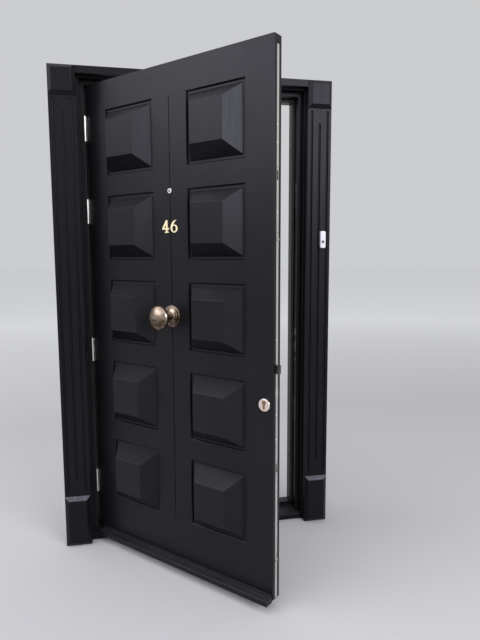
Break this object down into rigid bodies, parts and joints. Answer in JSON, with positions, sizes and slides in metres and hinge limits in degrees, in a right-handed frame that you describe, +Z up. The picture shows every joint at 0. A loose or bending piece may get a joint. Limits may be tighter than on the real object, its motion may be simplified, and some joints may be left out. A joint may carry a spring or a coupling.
{
  "type": "panelled front door",
  "caption": "Black painted front door with raised pyramid panels, hung ajar in its rebated frame and fluted surround, with butt hinges, multi-point lock, pull knob and bell push.",
  "frame": {"origin": "underside of the sill, at the middle of the doorway's width, in the plane of the shut leaf's outer face", "axes": "+Z up, +Y into the house, +X to the right seen from outside, towards the lock jamb"},
  "size_m": [1.228, 0.8162, 2.0789],
  "materials": {
    "painted_timber": "satin paint",
    "satin_steel": "satin",
    "satin_nickel": "satin",
    "aged_brass": "polished, darkened",
    "polished_brass": "polished",
    "black_rubber": "matt",
    "white_plastic": "gloss",
    "dark_plastic": "matt"
  },
  "bodies": {
    "frame": {"hinge_jamb": "painted_timber", "lock_jamb": "painted_timber", "head_jamb": "painted_timber", "sill": "painted_timber", "left_reveal_lining": "painted_timber", "right_reveal_lining": "painted_timber", "head_reveal_lining": "painted_timber", "left_pilaster": "painted_timber", "right_pilaster": "painted_timber", "left_plinth_block": "painted_timber", "right_plinth_block": "painted_timber", "left_corner_block": "painted_timber", "right_corner_block": "painted_timber", "head_board": "painted_timber", "frame_seal": "black_rubber", "upper_keep": "satin_steel", "centre_keep": "satin_steel", "lower_keep": "satin_steel", "frame_hinge_plates": "satin_steel", "hinge_pins": "satin_steel", "frame_hinge_screws": "satin_steel", "bell_push_base": "white_plastic"},
    "leaf": {"hinge_stile": "painted_timber", "lock_stile": "painted_timber", "left_muntin": "painted_timber", "right_muntin": "painted_timber", "top_rail": "painted_timber", "bottom_rail": "painted_timber", "cross_rails": "painted_timber", "weather_bar": "painted_timber", "left_panel_1": "painted_timber", "left_panel_2": "painted_timber", "left_panel_3": "painted_timber", "left_panel_4": "painted_timber", "left_panel_5": "painted_timber", "right_panel_1": "painted_timber", "right_panel_2": "painted_timber", "right_panel_3": "painted_timber", "right_panel_4": "painted_timber", "right_panel_5": "painted_timber", "leaf_hinge_plates": "satin_steel", "leaf_hinge_screws": "satin_steel", "lock_faceplate": "satin_steel", "lock_cases": "satin_steel", "outer_escutcheon": "satin_nickel", "inner_backplate": "satin_nickel", "door_viewer": "satin_nickel", "knob_rose": "aged_brass", "pull_knob": "aged_brass", "house_numerals": "polished_brass", "cylinder_body": "polished_brass"},
    "bell_button": {"bell_push_button": "dark_plastic"},
    "lever": {"lever_handle": "satin_nickel"},
    "latch": {"latch_bolt": "satin_steel"},
    "deadbolt": {"deadbolt": "satin_steel"},
    "upper_hook": {"upper_hook": "satin_steel"},
    "lower_hook": {"lower_hook": "satin_steel"},
    "drive_rails": {"drive_rails": "satin_steel"},
    "key_barrel": {"cylinder_plug": "polished_brass", "thumbturn": "satin_nickel"}
  },
  "joints": [
    {"name": "leaf_swing", "type": "hinge", "parent": "frame", "child": "leaf", "pos_m": [-0.4745, -0.008, 1], "axis": [0, 0, -1], "range_deg": [-47, 33]},
    {"name": "lever_turn", "type": "hinge", "parent": "leaf", "child": "lever", "pos_m": [0.18844, -0.6368, 0.8724], "axis": [-0.7314, -0.682, 0], "range_deg": [0, 40], "stiffness_Nm_per_rad": 1.5, "springref_deg": -20.05},
    {"name": "latch_slide", "type": "slide", "parent": "leaf", "child": "latch", "axis": [-0.682, 0.7314, 0], "range_m": [0, 0.011]},
    {"name": "key_turn", "type": "hinge", "parent": "leaf", "child": "key_barrel", "pos_m": [0.16942, -0.65453, 0.7804], "axis": [0.7314, 0.682, 0], "range_deg": [0, 360]},
    {"name": "deadbolt_slide", "type": "slide", "parent": "leaf", "child": "deadbolt", "axis": [0.682, -0.7314, 0], "range_m": [0, 0.02]},
    {"name": "upper_hook_turn", "type": "hinge", "parent": "leaf", "child": "upper_hook", "pos_m": [0.18375, -0.66989, 1.5604], "axis": [0.7314, 0.682, 0], "range_deg": [0, 90]},
    {"name": "lower_hook_turn", "type": "hinge", "parent": "leaf", "child": "lower_hook", "pos_m": [0.18375, -0.66989, 0.5334], "axis": [0.7314, 0.682, 0], "range_deg": [0, 90]},
    {"name": "rail_slide", "type": "slide", "parent": "leaf", "child": "drive_rails", "axis": [0, 0, 1], "range_m": [0, 0.018]},
    {"name": "bell_press", "type": "slide", "parent": "frame", "child": "bell_button", "axis": [0, 1, 0], "range_m": [0, 0.0015], "stiffness_N_per_m": 400, "springref_m": -0.002}
  ],
  "couplings": [
    {"joint": "latch_slide", "follows": "lever_turn", "m_per_rad": 0.015756},
    {"joint": "key_turn", "follows": "rail_slide", "rad_per_m": 349.07},
    {"joint": "deadbolt_slide", "follows": "rail_slide", "ratio": 1.1111},
    {"joint": "upper_hook_turn", "follows": "rail_slide", "rad_per_m": 87.266},
    {"joint": "lower_hook_turn", "follows": "rail_slide", "rad_per_m": 87.266}
  ]
}
